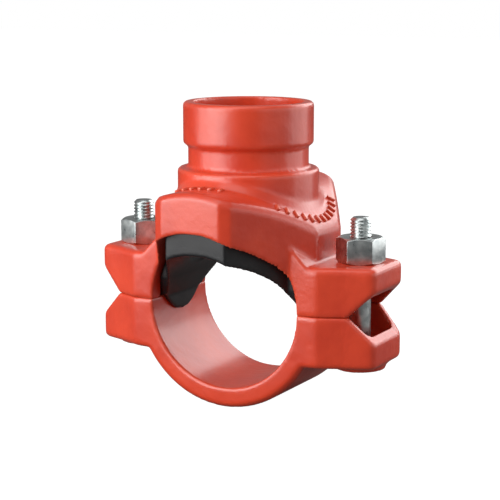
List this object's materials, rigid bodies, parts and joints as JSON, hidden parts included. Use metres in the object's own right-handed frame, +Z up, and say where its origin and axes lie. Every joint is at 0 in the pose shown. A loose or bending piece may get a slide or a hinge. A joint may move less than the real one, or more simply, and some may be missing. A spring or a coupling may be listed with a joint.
{
  "type": "mechanical tee",
  "caption": "Bolted mechanical tee: a branch housing with a grooved outlet and a strap housing clamp round a run pipe, sealed by a saddle gasket.",
  "frame": {"origin": "on the run pipe's axis, straight below the outlet, on the plane where the two housings meet", "axes": "+Z up the outlet's axis, +Y along the run pipe, +X from the left bolt to the right bolt"},
  "size_m": [0.115, 0.086, 0.1118],
  "materials": {
    "housing_paint": "satin orange-red paint on cast iron",
    "gasket_rubber": "moulded black rubber",
    "zinc": "bright zinc plate"
  },
  "bodies": {
    "branch": {"upper_housing": "housing_paint", "gasket": "gasket_rubber"},
    "strap": {"lower_housing": "housing_paint", "bolt_left": "zinc", "bolt_right": "zinc"},
    "left_nut": {"nut_left": "zinc"},
    "right_nut": {"nut_right": "zinc"}
  },
  "joints": [
    {"name": "strap_drop", "type": "slide", "parent": "branch", "child": "strap", "axis": [0, 0, -1], "range_m": [0, 0.00625]},
    {"name": "left_nut_turn", "type": "hinge", "parent": "branch", "child": "left_nut", "pos_m": [-0.0461, 0, 0.0178], "axis": [0, 0, 1], "range_deg": [0, 1800.5]},
    {"name": "right_nut_turn", "type": "hinge", "parent": "branch", "child": "right_nut", "pos_m": [0.0461, 0, 0.0178], "axis": [0, 0, 1], "range_deg": [0, 1800.5]}
  ],
  "couplings": [
    {"joint": "left_nut_turn", "follows": "strap_drop", "rad_per_m": 5026.5},
    {"joint": "right_nut_turn", "follows": "strap_drop", "rad_per_m": 5026.5}
  ]
}
